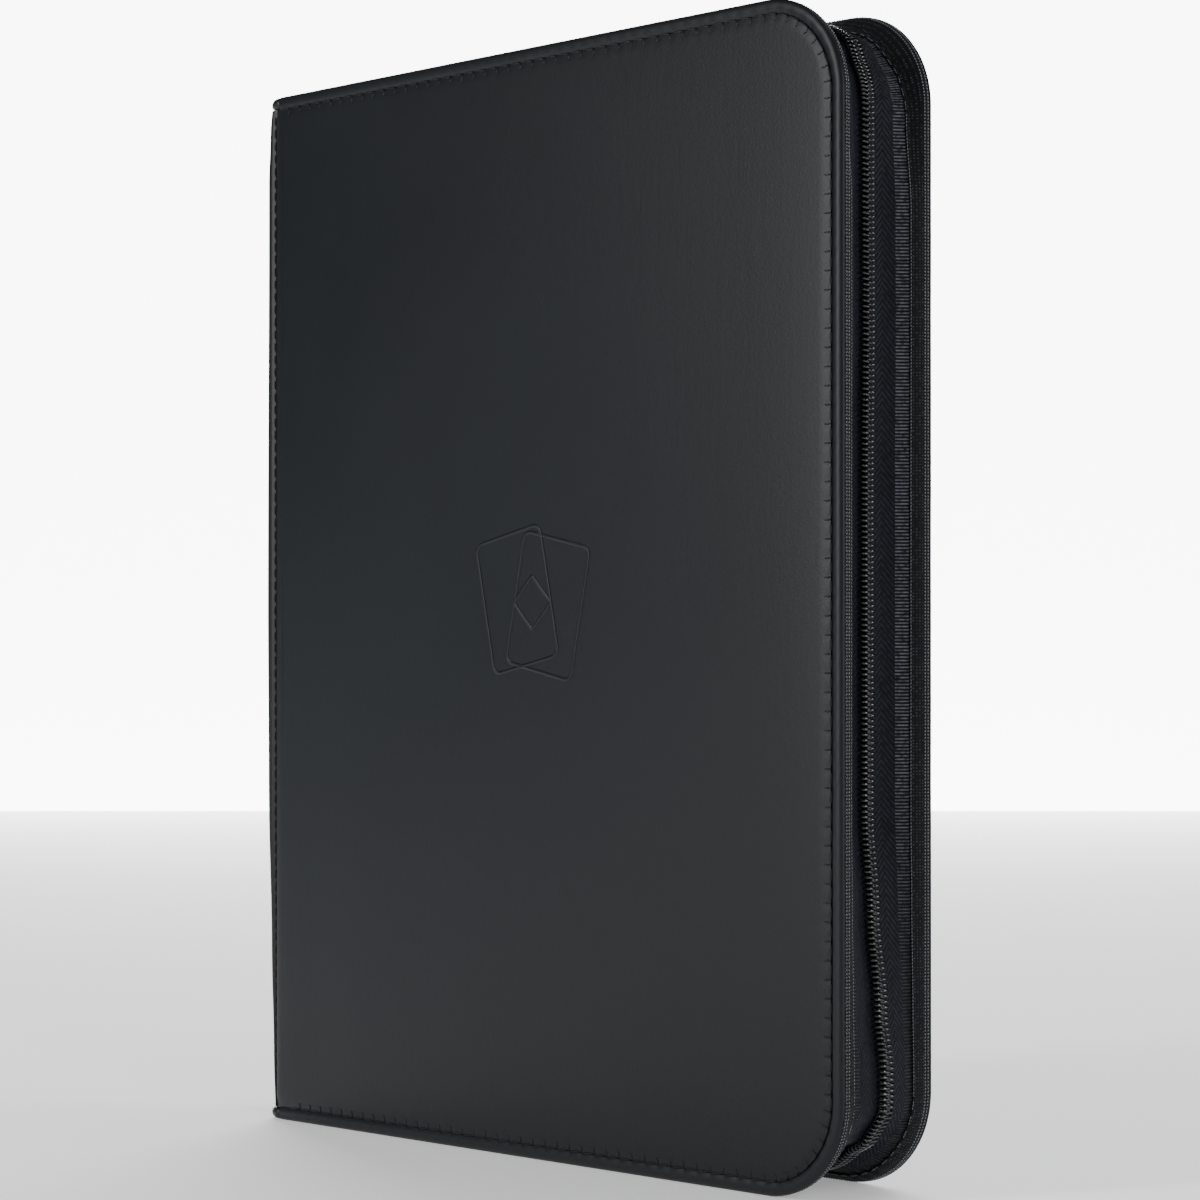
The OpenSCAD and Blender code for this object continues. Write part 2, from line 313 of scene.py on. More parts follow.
def woven_finish():
    """Gusset band: polyester filament yarn in a tight plain weave, 0.8 mm from thread to
    thread; dull, with a painted highlight: the top of each thread is painted lighter, in patches, as a glint."""
    material, tree, shader, place = new_material("woven_polyester_band", 0.7, Specular_IOR_Level=0.2)
    along = add(tree, "ShaderNodeAttribute", {"attribute_name": "along"}).outputs["Fac"]
    across = add(tree, "ShaderNodeAttribute", {"attribute_name": "across"}).outputs["Fac"]
    warp = wave_lines(tree, along, 0.9 * MM)
    weft = wave_lines(tree, across, 0.8 * MM)
    cross = add(tree, "ShaderNodeMath", {"operation": "MULTIPLY"}, {0: warp, 1: weft})
    fuzz = add(tree, "ShaderNodeTexNoise", {"Scale": 900.0}, {"Vector": place})
    # painted highlight: where the threads cross, their tops are painted lighter, in patches, as a glint
    painted_glint = add(tree, "ShaderNodeMapRange", {"From Min": 0.45, "From Max": 0.95}, {"Value": cross.outputs[0]})
    patchy = add(tree, "ShaderNodeMapRange", {"From Min": 0.42, "From Max": 0.62}, {"Value": fuzz.outputs[0]})
    share = add(tree, "ShaderNodeMath", {"operation": "MULTIPLY"},
                {0: painted_glint.outputs[0], 1: patchy.outputs[0]})
    tree.links.new(mixed(tree, share.outputs[0], "#050609", "#4c4e57"), shader.inputs["Base Color"])
    bump = add(tree, "ShaderNodeBump", {"Strength": 0.8, "Distance": 0.15 * MM},
               {"Height": cross.outputs[0]})
    tree.links.new(bump.outputs[0], shader.inputs["Normal"])
    return material


def tape_finish():
    """Zip tape: navy black polyester twill woven as a herringbone, its ribs 2 mm apart along the tape, with
    a ladder of cross threads 1 mm apart along the outer edge, whose crests are painted light as a highlight
    and painted darker as shade towards the bottom."""
    material, tree, shader, place = new_material("herringbone_zip_tape", 0.7, Specular_IOR_Level=0.2)
    along = add(tree, "ShaderNodeAttribute", {"attribute_name": "along"}).outputs["Fac"]
    across = add(tree, "ShaderNodeAttribute", {"attribute_name": "across"}).outputs["Fac"]
    fold = add(tree, "ShaderNodeMath", {"operation": "PINGPONG", 1: 3.4 * MM}, {0: across})
    slant = add(tree, "ShaderNodeMath", {"operation": "MULTIPLY_ADD", 1: -1.6},
                {0: fold.outputs[0], 2: along})
    twill = wave_lines(tree, slant.outputs[0], 2.0 * MM)
    ladder = wave_lines(tree, along, 1.0 * MM)
    fuzz = add(tree, "ShaderNodeTexNoise", {"Scale": 700.0}, {"Vector": place})
    patchy = add(tree, "ShaderNodeMapRange", {"From Min": 0.25, "From Max": 0.6}, {"Value": fuzz.outputs[0]})
    # painted highlight: the crest of each cross thread in the ladder is painted light
    painted_rung_highlight = add(tree, "ShaderNodeMapRange", {"From Min": 0.35, "From Max": 0.85}, {"Value": ladder})
    twill_share = add(tree, "ShaderNodeMath", {"operation": "MULTIPLY"}, {0: twill, 1: patchy.outputs[0]})
    ladder_painted_light = add(tree, "ShaderNodeMath", {"operation": "MULTIPLY"},
                       {0: painted_rung_highlight.outputs[0], 1: patchy.outputs[0]})
    # painted shade: the ladder's painted highlight dims to a fifth from low on the fore edge, round the
    # bottom corner and along the bottom
    painted_shade_toward_bottom = add(tree, "ShaderNodeMapRange", {"From Min": 0.46, "From Max": 0.53, "To Min": 1.0, "To Max": 0.2},
               {"Value": along})
    ladder_painted_light = add(tree, "ShaderNodeMath", {"operation": "MULTIPLY"},
                       {0: ladder_painted_light.outputs[0], 1: painted_shade_toward_bottom.outputs[0]})
    in_ladder = add(tree, "ShaderNodeMath", {"operation": "GREATER_THAN", 1: 10.2 * MM}, {0: across})
    plain = mixed(tree, twill_share.outputs[0], "#04050a", "#1d202e")
    painted_ladder_highlight = mixed(tree, ladder_painted_light.outputs[0], "#05060a", "#62646e")
    both = add(tree, "ShaderNodeMix", {"data_type": "RGBA"},
               {"Factor": in_ladder.outputs[0], 6: plain, 7: painted_ladder_highlight})
    tree.links.new(both.outputs[2], shader.inputs["Base Color"])
    height = add(tree, "ShaderNodeMix", {}, {"Factor": in_ladder.outputs[0], 2: twill, 3: ladder})
    bump = add(tree, "ShaderNodeBump", {"Strength": 0.9, "Distance": 0.2 * MM},
               {"Height": height.outputs[0]})
    tree.links.new(bump.outputs[0], shader.inputs["Normal"])
    return material


def speckled_finish(name, low, high, grain, roughness, depth=0.05, **sockets):
    """A surface with one fine irregular grain, a given number of millimetres across."""
    material, tree, shader, place = new_material(name, roughness, **sockets)
    speck = add(tree, "ShaderNodeTexNoise", {"Scale": 1 / (grain * MM), "Detail": 4.0}, {"Vector": place})
    tree.links.new(mixed(tree, speck.outputs[0], low, high), shader.inputs["Base Color"])
    bump = add(tree, "ShaderNodeBump", {"Strength": 0.6, "Distance": depth * MM},
               {"Height": speck.outputs[0]})
    tree.links.new(bump.outputs[0], shader.inputs["Normal"])
    return material


def lining_finish():
    """Lining: black nylon in a plain weave, drawn with threads 0.9 mm apart so that it shows."""
    material, tree, shader, place = new_material("nylon_lining", 0.7, Sheen_Weight=0.08)
    parts = add(tree, "ShaderNodeSeparateXYZ", {}, {0: place})
    flat = add(tree, "ShaderNodeMath", {"operation": "ADD"}, {0: parts.outputs[0], 1: parts.outputs[1]})
    weave = add(tree, "ShaderNodeMath", {"operation": "MULTIPLY"},
                {0: wave_lines(tree, flat.outputs[0], 0.9 * MM),
                 1: wave_lines(tree, parts.outputs[2], 0.9 * MM)})
    tree.links.new(mixed(tree, weave.outputs[0], "#15161a", "#34363c"), shader.inputs["Base Color"])
    bump = add(tree, "ShaderNodeBump", {"Strength": 0.6, "Distance": 0.1 * MM}, {"Height": weave.outputs[0]})
    tree.links.new(bump.outputs[0], shader.inputs["Normal"])
    return material


def film_finish():
    """Pages: black polypropylene under a clear pocket film, with a fine pressed texture and
    welds rolled with a row of small ridges; glossy, with soft broken reflections."""
    material, tree, shader, place = new_material("polypropylene_page_film", 0.3, Specular_IOR_Level=0.5,
                                                 Coat_Weight=0.35, Coat_Roughness=0.12)
    parts = add(tree, "ShaderNodeSeparateXYZ", {}, {0: place})
    weld = 3 * MM
    in_weld = []
    for axis, start, cell in ((0, page_high.x - 3 * 71 * MM - weld, 71 * MM), (2, page_low.z, 98 * MM)):
        shifted = add(tree, "ShaderNodeMath", {"operation": "SUBTRACT", 1: start}, {0: parts.outputs[axis]})
        local = add(tree, "ShaderNodeMath", {"operation": "FLOORED_MODULO", 1: cell}, {0: shifted.outputs[0]})
        in_weld.append(add(tree, "ShaderNodeMath", {"operation": "LESS_THAN", 1: weld},
                           {0: local.outputs[0]}))
    welded = add(tree, "ShaderNodeMath", {"operation": "MAXIMUM"},
                 {0: in_weld[0].outputs[0], 1: in_weld[1].outputs[0]})
    sum_xz = add(tree, "ShaderNodeMath", {"operation": "ADD"}, {0: parts.outputs[0], 1: parts.outputs[2]})
    ridges = wave_lines(tree, sum_xz.outputs[0], 1.4 * MM)
    pressed = add(tree, "ShaderNodeTexNoise", {"Scale": 420.0, "Detail": 2.0}, {"Vector": place})
    share = add(tree, "ShaderNodeMath", {"operation": "MULTIPLY"}, {0: welded.outputs[0], 1: ridges})
    tree.links.new(mixed(tree, share.outputs[0], "#121317", "#3a3c42"), shader.inputs["Base Color"])
    height = add(tree, "ShaderNodeMath", {"operation": "MULTIPLY_ADD", 1: 0.25},
                 {0: pressed.outputs[0], 2: share.outputs[0]})
    bump = add(tree, "ShaderNodeBump", {"Strength": 0.5, "Distance": 0.12 * MM},
               {"Height": height.outputs[0]})
    tree.links.new(bump.outputs[0], shader.inputs["Normal"])
    return material


LEATHER = leather_finish("synthetic_leather", "#0a0e11", "#0f1417")
WOVEN = woven_finish()
TAPE = tape_finish()
LINING = lining_finish()
FILM = film_finish()
# bonded polyester thread: round, twisted and a little shiny
THREAD = speckled_finish("bonded_polyester_thread", "#050506", "#131416", 0.35, 0.55, Specular_IOR_Level=0.3)
# lighter thread of the gusset's overlocked seams, which catches the light on each loop
SEAM_THREAD = speckled_finish("overlock_thread", "#3a3c42", "#8d9098", 0.4, 0.35)
# drawn nylon monofilament: smooth, with a small bright glint on each loop
NYLON = speckled_finish("nylon_coil", "#0d0e11", "#1b1c20", 0.5, 0.22, 0.02)
# zinc die casting with black electroplating, worn a little lighter in patches
PLATED = speckled_finish("black_plated_zinc", "#2c2d30", "#4a4b50", 2.0, 0.32, 0.02, Metallic=1.0)
# pressed grey paper board and open-cell foam, both hidden between leather and lining
GREYBOARD = speckled_finish("pressed_greyboard", "#6f675c", "#8d8474", 0.8, 0.9)
FOAM = speckled_finish("open_cell_foam", "#2e2e2f", "#4a4a4b", 0.6, 0.95)


# ---- padded covers ----

def outline_distance(x, z):
    """How far a point lies inside the covers' three open sides, and how far along it is."""
    run = CORNER_X - CREASE_X
    if x > CORNER_X and z > TOP - CORNER_R:
        v = Vector((x - CORNER_X, z - TOP + CORNER_R))
        return CORNER_R - v.length, run + CORNER_R * math.atan2(v.x, v.y)
    if x > CORNER_X and z < CORNER_R:
        v = Vector((x - CORNER_X, z - CORNER_R))
        return CORNER_R - v.length, run + ARC + FORE_RUN + CORNER_R * math.atan2(-v.y, v.x)
    sides = [(TOP - z, x - CREASE_X), (FORE_X - x, run + ARC + TOP - CORNER_R - z),
             (z, run + 2 * ARC + FORE_RUN + CORNER_X - x)]
    return min(sides)


PANEL_X = CREASE_X + 1.9 * MM
CROWN = 1.25 * MM


def panel_grid(cells_x, cells_z):
    """A flat sheet inside the stitch line, its two fore-edge corners rounded."""
    bm = bmesh.new()
    low = Vector((PANEL_X, STITCH_IN))
    high = Vector((FORE_X - STITCH_IN, TOP - STITCH_IN))
    bmesh.ops.create_grid(bm, x_segments=cells_x, y_segments=cells_z, size=0.5)
    radius = CORNER_R - STITCH_IN
    for v in bm.verts:
        x = low.x + (v.co.x + 0.5) * (high.x - low.x)
        z = low.y + (v.co.y + 0.5) * (high.y - low.y)
        u = (x - high.x + radius) / radius
        for corner_z, sign in ((high.y - radius, 1), (low.y + radius, -1)):
            w = sign * (z - corner_z) / radius
            if u > 0 and w > 0:
                x = high.x - radius + radius * u * math.sqrt(1 - w * w / 2)
                z = corner_z + sign * radius * w * math.sqrt(1 - u * u / 2)
        v.co = (x, -HALF, z)
    return bm


def puffed(bm):
    """Fills the sheet with foam: a cloth simulation held at the edge and pressed outwards.
    Gives back how far each point of the sheet rises."""
    obj = piece(bm, "panel_cloth", LEATHER, recalc=False)
    mesh = obj.data
    if mesh.polygons[0].normal.y > 0:
        mesh.flip_normals()
    edge = [v.index for v in mesh.vertices
            if outline_distance(v.co.x, v.co.z)[0] < STITCH_IN + 0.5 * MM or v.co.x < PANEL_X + 0.5 * MM]
    held = obj.vertex_groups.new(name="stitched")
    held.add(edge, 1.0, "REPLACE")
    cloth = obj.modifiers.new("foam", "CLOTH")
    cloth.settings.vertex_group_mass = "stitched"
    cloth.settings.use_pressure = True
    cloth.settings.uniform_pressure_force = 4.0
    cloth.settings.effector_weights.gravity = 0.0
    cloth.settings.tension_stiffness = 30
    cloth.settings.quality = 5
    scene = bpy.context.scene
    for step in range(1, 21):
        scene.frame_set(step)
    shape = obj.evaluated_get(bpy.context.evaluated_depsgraph_get()).to_mesh()
    rises = [max(0.0, -HALF - v.co.y) for v in shape.vertices]
    scene.frame_set(1)
    bpy.data.objects.remove(obj)
    return rises


def stitch_pull(s):
    """How hard the thread pulls the leather in: 1 where it dives between two stitches."""
    return 0.5 + 0.5 * math.cos(2 * math.pi * s / STITCH_PITCH)


def cover_panel(side):
    """One padded panel: flat foam with soft shoulders, drawn down to the stitch line."""
    cells_x, cells_z = 44, 62
    bm = panel_grid(cells_x, cells_z)
    rises = puffed(bm.copy())
    full = max(rises)
    bm.verts.ensure_lookup_table()
    for v, rise in zip(bm.verts, rises):
        near_spine = smooth((v.co.x - PANEL_X) / (45 * MM))
        v.co.y = -HALF - CROWN * (1 - math.exp(-4.5 * rise / full)) * (0.15 + 0.85 * near_spine)
    obj = piece(bm, "panel_form", LEATHER, recalc=False)
    finer = obj.modifiers.new("finer", "SUBSURF")
    finer.levels = finer.render_levels = 2
    finer.boundary_smooth = "PRESERVE_CORNERS"
    shape = bpy.data.meshes.new_from_object(obj.evaluated_get(bpy.context.evaluated_depsgraph_get()))
    bpy.data.objects.remove(obj)
    bm = bmesh.new()
    bm.from_mesh(shape)
    for v in bm.verts:
        inside, s = outline_distance(v.co.x, v.co.z)
        off = max(0.0, inside - STITCH_IN)
        v.co.y += 0.3 * MM * (1 - smooth(off / (2.6 * MM)))
        v.co.y += 0.15 * MM * stitch_pull(s) ** 2 * math.exp(-off / (1.5 * MM))
        v.co.y -= 0.2 * MM + 0.2 * MM * (1 - math.exp(-(v.co.x - PANEL_X) / (4 * MM)))
        v.co.y += 0.08 * MM * noise.noise(v.co * 16.0)
    rim = [e for e in bm.edges if e.is_boundary]
    made = bmesh.ops.extrude_edge_only(bm, edges=rim)["geom"]
    base = [v for v in made if isinstance(v, bmesh.types.BMVert)]
    for v in base:
        v.co.y = -HALF + 0.95 * MM
    rim = [e for e in made if isinstance(e, bmesh.types.BMEdge) and e.is_boundary]
    bmesh.ops.contextual_create(bm, geom=rim)
    if side > 0:
        bmesh.ops.scale(bm, vec=(1, -1, 1), verts=bm.verts)
    return bm


def hem_section():
    """The hem's closed section: out of the stitch groove, over the roll, round the narrow rim,
    and behind the woven band back inside."""
    top = HALF / MM
    return [(5.3, top - 0.6, 0), (4.75, top - 0.34, 0), (4.3, top - 0.12, 0), (3.6, top + 0.16, 0),
            (2.7, top + 0.3, 0), (1.8, top + 0.25, 0), (1.0, top + 0.02, 0), (0.35, top - 0.4, 0),
            (0.15, top - 0.8, 0), (0.4, top - 1.15, 0), (1.1, top - 1.25, 0), (1.2, top - 2.6, 0),
            (3.0, top - 2.6, 0), (4.2, top - 2.6, 0), (5.3, top - 1.6, 0)]


def hem(side):
    """The rolled hem, nipped in a little at each stitch."""
    bm = sweep(hem_section(), CREASE_X + 0.15 * MM, 0.0, STITCH_PITCH / 5, side)
    along = bm.verts.layers.float["along"]
    across = bm.verts.layers.float["across"]
    for v in bm.verts:
        inside = outline_distance(v.co.x, v.co.z)[0]
        near = math.exp(-abs(inside - STITCH_IN) / (1.5 * MM)) if v[across] > HALF - 1 * MM else 0
        v.co.y -= side * 0.25 * MM * near * stitch_pull(v[along]) ** 2
        v.co.y += side * 0.06 * MM * noise.noise(v.co * 45.0)
    return bm


def copies(template, places):
    """One mesh made of many copies of a small closed template, each at its own matrix."""
    points, faces = [], []
    for place in places:
        first = len(points)
        points += [place @ v.co for v in template.vertices]
        faces += [[first + i for i in f.vertices] for f in template.polygons]
    mesh = bpy.data.meshes.new("copies")
    mesh.from_pydata(points, [], faces)
    bm = bmesh.new()
    bm.from_mesh(mesh)
    bpy.data.meshes.remove(mesh)
    return bm


def stitches(spots, length, thick):
    """One small thread loop for each spot, which is its middle, the way it runs and the way
    it faces."""
    seed = bmesh.new()
    bmesh.ops.create_uvsphere(seed, u_segments=6, v_segments=4, radius=1.0,
                              matrix=Matrix.Rotation(math.pi / 2, 4, "Y"))
    template = bpy.data.meshes.new("stitch")
    seed.to_mesh(template)
    seed.free()
    size = Matrix.Diagonal((length / 2, thick / 2, thick / 2, 1))
    places = []
    for middle, run, face in spots:
        run = run.normalized()
        face = (face - run * face.dot(run)).normalized()
        turn = Matrix((run, face.cross(run), face)).transposed().to_4x4()
        places.append(Matrix.Translation(middle) @ turn @ size)
    return copies(template, places)


def cover_stitches(side):
    start = CREASE_X + 0.15 * MM
    count = int(edge_length(start) / STITCH_PITCH)
    spots = []
    for n in range(count):
        s = (n + 0.5) * STITCH_PITCH
        here = on_edge(s, start, STITCH_IN - 0.05 * MM, side * (HALF + 0.02 * MM))
        ahead = on_edge(s + 1 * MM, start, STITCH_IN - 0.05 * MM, side * (HALF + 0.02 * MM))
        spots.append((here, ahead - here, Vector((0, side, 0))))
    return stitches(spots, 4.3 * MM, 0.8 * MM)


def puckers(side):
    """Small folds of leather that run into the panel from each needle hole."""
    start = CREASE_X + 0.15 * MM
    spots = []
    for n in range(1, int(edge_length(start) / STITCH_PITCH)):
        s = n * STITCH_PITCH
        out = edge_at(s, start)[1]
        spots.append((on_edge(s, start, STITCH_IN + 0.9 * MM, side * (HALF + 0.12 * MM)),
                      Vector((-out.x, side * 0.28, -out.y)), Vector((0, side, 0))))
    return stitches(spots, 2.6 * MM, 0.7 * MM)


# ---- gusset and zip ----

def gusset_section():
    """Woven band from under the hem's rim, down the cover's edge, to a raised selvage that
    turns under over the tape."""
    top = HALF / MM
    face = [(3.4, top - 1.35, 0), (0.95, top - 1.3, 0), (0.4, top - 1.25, 0), (0.3, top - 1.9, 0),
            (0.4, top - 2.8, 0), (0.75, top - 4.0, 0.04), (1.35, top - 5.1, 0.08), (2.0, top - 6.05, 0.12),
            (2.35, top - 6.5, 0.15), (2.5, top - 6.85, 0.15), (2.9, top - 6.9, 0.17)]
    back = [(3.1, top - 6.55, 0.17), (2.6, top - 5.9, 0.13), (1.95, top - 4.9, 0.08), (1.35, top - 3.8, 0.04),
            (1.0, top - 2.7, 0), (1.15, top - 1.9, 0), (3.4, top - 1.9, 0)]
    return face + back


def tape_section():
    """Zip tape: from under the coil, flat, then up under the gusset."""
    face = [(7.7, 1.0, 1), (7.7, 3.4, 1), (7.55, 5.2, 1), (6.9, 7.2, 0.9), (5.9, 9.0, 0.7), (4.7, 11.0, 0.45),
            (3.75, 12.4, 0.25), (3.25, 13.3, 0.18), (3.0, 14.2, 0.14)]
    return face + [(depth + 0.55, a, share) for depth, a, share in reversed(face)]


def coil_loop():
    """One loop of the coil: a flat ring of thin rod. Its x is across the chain from the middle
    plane, its y along the edge, its z outwards from the coil's middle."""
    bm = bmesh.new()
    rod = 0.3 * MM
    path = [(3.0, 0.0, 0.0), (2.85, 0.06, 0.62), (2.2, 0.12, 0.92), (0.9, 0.2, 0.9), (0.0, 0.24, 0.72),
            (-0.5, 0.2, 0.1), (-0.2, 0.0, -0.55), (0.8, -0.1, -0.8), (2.1, -0.12, -0.8), (2.85, -0.08, -0.55)]
    path = [Vector(p) * MM for p in path]
    rings = []
    for i, here in enumerate(path):
        run = (path[(i + 1) % len(path)] - path[i - 1]).normalized()
        side = run.cross(Vector((0, 1, 0))).normalized()
        up = side.cross(run)
        # the head, at the middle plane, is pressed wide where it locks
        wide = 1.35 if abs(here.x) < 0.6 * MM else 1.0
        rings.append([bm.verts.new(here + rod * (side * math.cos(t) + up * math.sin(t) * wide))
                      for t in (k * math.pi / 3 for k in range(6))])
    loops = [[bm.edges.new((r[i - 1], r[i])) for i in range(6)] for r in rings]
    for a, b in zip(loops, loops[1:] + loops[:1]):
        bmesh.ops.bridge_loops(bm, edges=a + b)
    bmesh.ops.recalc_face_normals(bm, faces=bm.faces)
    mesh = bpy.data.meshes.new("coil_loop")
    bm.to_mesh(mesh)
    bm.free()
    return mesh


COIL_DEPTH = 6.35 * MM


def coil(side, loop, first, last):
    """Loops of one side of the coil, from one place along the edge to another."""
    places = []
    start = GUSSET_X
    for n in range(math.ceil(first / COIL_PITCH), int(last / COIL_PITCH)):
        s = n * COIL_PITCH + (COIL_PITCH / 2 if side > 0 else 0)
        here = on_edge(s, start, COIL_DEPTH + zip_sink(s, start), 0)
        ahead = on_edge(s + 0.5 * MM, start, COIL_DEPTH + zip_sink(s + 0.5 * MM, start), 0)
        run = (ahead - here).normalized()
        out = Vector((0, -1, 0)).cross(run)
        turn = Matrix((Vector((0, side, 0)), run, out)).transposed().to_4x4()
        places.append(Matrix.Translation(here) @ turn)
    return copies(loop, places)


def seam_row(side, depth, a, share, pitch, length, thick, slant):
    """A row of slanted seam stitches along the gusset, at a depth and distance from the
    middle plane in millimetres."""
    start = GUSSET_X
    trim = 6 * MM
    count = int((edge_length(start) - 2 * trim) / pitch)
    spots = []
    for n in range(count):
        s = trim + n * pitch
        fall = zip_sink(s, start) * share + corner_sag(s, start, a)
        here = on_edge(s, start, depth * MM + fall, side * a * MM)
        ahead = on_edge(s + 0.5 * MM, start, depth * MM + fall, side * a * MM)
        out = edge_at(s, start)[1]
        tilt = slant if n % 2 else -slant
        run = (ahead - here).normalized() * math.cos(tilt) + Vector((0, side, 0)) * math.sin(tilt)
        spots.append((here, run, Vector((out.x, 0, out.y))))
    return stitches(spots, length, thick)


# ---- spine ----

# the rounded corners of the spine draw in towards both ends: (height in mm, share)
SPINE_PINCH = [(0, 0.42), (24, 0.6), (58, 0.74), (115, 0.95), (175, 1.0),
               (320, 0.93), (338, 0.82), (350, 0.66)]


def spine_point(out, a, share, z):
    """A point of the spine's skin: how far out past the crease and how far from the middle
    plane, in millimetres, and its share of the pinch."""
    pinch = 1 - share * (1 - between(SPINE_PINCH, z / MM))
    drawn_in = share * 1.2 * MM * (1 - pinch) * (1 if a > 0 else -1)
    return Vector((CREASE_X - out * MM * pinch, a * MM - drawn_in, z))


def extruded(section, heights, put):
    """Extrudes a closed section up the spine; put places one of its points at a height."""
    bm = bmesh.new()
    ring = [bm.verts.new(put(p, heights[0])) for p in section]
    edges = [bm.edges.new((ring[i - 1], ring[i])) for i in range(len(ring))]
    bm.faces.new(ring)
    for z in heights[1:]:
        made = bmesh.ops.extrude_edge_only(bm, edges=edges)["geom"]
        fresh = {v for v in made if isinstance(v, bmesh.types.BMVert)}
        ring = [next(e.other_vert(v) for e in v.link_edges if e.other_vert(v) in fresh) for v in ring]
        edges = [bm.edges.get((ring[i - 1], ring[i])) for i in range(len(ring))]
        for vert, p in zip(ring, section):
            vert.co = put(p, z)
    bm.faces.new(ring)
    return bm


def steps(low, high, step):
    count = max(1, round((high - low) / step))
    return [low + (high - low) * n / count for n in range(count + 1)]


SPINE_HEM = 4.3 * MM


def spine_skin():
    top = HALF / MM
    face = [(2.5, top - 0.75, 0.2), (3.2, top - 0.8, 0.3), (3.9, top - 0.4, 0.5), (5.2, top - 0.1, 0.8),
            (6.7, top - 0.3, 1.0), (8.0, top - 1.3, 1.0), (8.9, top - 3.0, 1.0), (9.3, top - 5.5, 0.8),
            (9.4, top - 9.0, 0.4), (9.35, top - 13.0, 0.15)]
    outer = face + [(9.3, 0.0, 0.0)] + [(o, -a, w) for o, a, w in reversed(face)]
    inner = [(max(o - 1.0, 1.6), a * 0.95 if abs(a) > 12 else a, w) for o, a, w in reversed(outer)]
    return extruded(outer + inner, steps(SPINE_HEM, TOP - SPINE_HEM, 3 * MM),
                    lambda p, z: spine_point(p[0], p[1], p[2], z))


def spine_layer(node):
    """A layer under the spine's leather, in its CAD place, pressed in with the leather towards
    the bottom."""
    low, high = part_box(node)
    outer, inner = (CREASE_X - low[0]) / MM, (CREASE_X - high[0]) / MM
    half = [(0.0, a, w) for a, w in ((7.0, 0.15), (11.0, 0.4), (13.6, 0.8))]
    if high[1] > 16 * MM:
        half.append((-0.9, 16.0, 1.0))
    half = [(0.0, 0.0, 0.0)] + half
    across = [(o, -a, w) for o, a, w in reversed(half[1:])] + half
    section = [(outer + o, a, w) for o, a, w in across] + [(inner + o, a, w) for o, a, w in reversed(across)]
    return extruded(section, steps(low[2], high[2], 3 * MM), lambda p, z: spine_point(p[0], p[1], p[2], z))


def dip(z):
    """How far the leather draws in, in millimetres, towards the hem at either end."""
    return 0.55 * (1 - smooth((min(z, TOP - z) - SPINE_HEM) / (4 * MM)))


def crease_strip(side):
    """Leather over the hinge line, from the spine's stitch groove, over a soft ridge, on to
    the cover."""
    top = HALF / MM
    face = [(2.9, top - 0.78, 0.25), (2.4, top - 0.6, 0.1), (1.7, top - 0.3, 0), (0.9, top - 0.07, 0),
            (0.0, top + 0.08, 0), (-1.0, top + 0.17, 0), (-2.0, top + 0.22, 0)]
    under = [(o, a - 0.8, w) for o, a, w in reversed(face)]
    return extruded(face + under, steps(SPINE_HEM, TOP - SPINE_HEM, 1.2 * MM),
                    lambda p, z: spine_point(p[0], side * (p[1] - dip(z)), p[2], z))


def spine_stitches():
    count = int((TOP - 2 * SPINE_HEM) / SPINE_STITCH_PITCH)
    spots = []
    for side in (-1, 1):
        for n in range(count):
            z = SPINE_HEM + (n + 0.5) * SPINE_STITCH_PITCH
            here = spine_point(3.1, side * (HALF / MM - 0.62), 0.3, z)
            spots.append((here, Vector((0, 0, 1)), Vector((-0.3, side, 0))))
    return stitches(spots, 3.2 * MM, 0.7 * MM)


def spine_hem(z):
    """The spine's own rolled hem across one end, with a small round knob at each crease."""
    bm = bmesh.new()
    half = [(-0.2, 18.1), (1.6, 18.2), (3.2, 17.9), (4.9, 16.8), (6.1, 15.0), (6.7, 12.5),
            (6.8, 8.0), (6.8, 3.0)]
    path = [Vector((CREASE_X - o * MM, a * MM, z)) for o, a in half]
    path += [Vector((p.x, -p.y, p.z)) for p in reversed(path)]
    rings = []
    for i, here in enumerate(path):
        run = (path[min(i + 1, len(path) - 1)] - path[max(i - 1, 0)]).normalized()
        side = run.cross(Vector((0, 0, 1))).normalized()
        end = min(i, len(path) - 1 - i)
        fat = (0.75, 1.0)[min(end, 1)]
        rings.append([bm.verts.new(here + 2.12 * MM * fat
                                   * (side * math.cos(t) * 0.95 + Vector((0, 0, math.sin(t)))))
                      for t in (k * math.pi / 8 for k in range(16))])
    loops = [[bm.edges.new((r[i - 1], r[i])) for i in range(16)] for r in rings]
    for a, b in zip(loops, loops[1:]):
        bmesh.ops.bridge_loops(bm, edges=a + b)
    for ring, here, inward in ((rings[0], path[0], path[1]), (rings[-1], path[-1], path[-2])):
        tip = bm.verts.new(here + (here - inward).normalized() * 0.9 * MM)
        for i in range(16):
            bm.faces.new((ring[i - 1], ring[i], tip))
    return bm


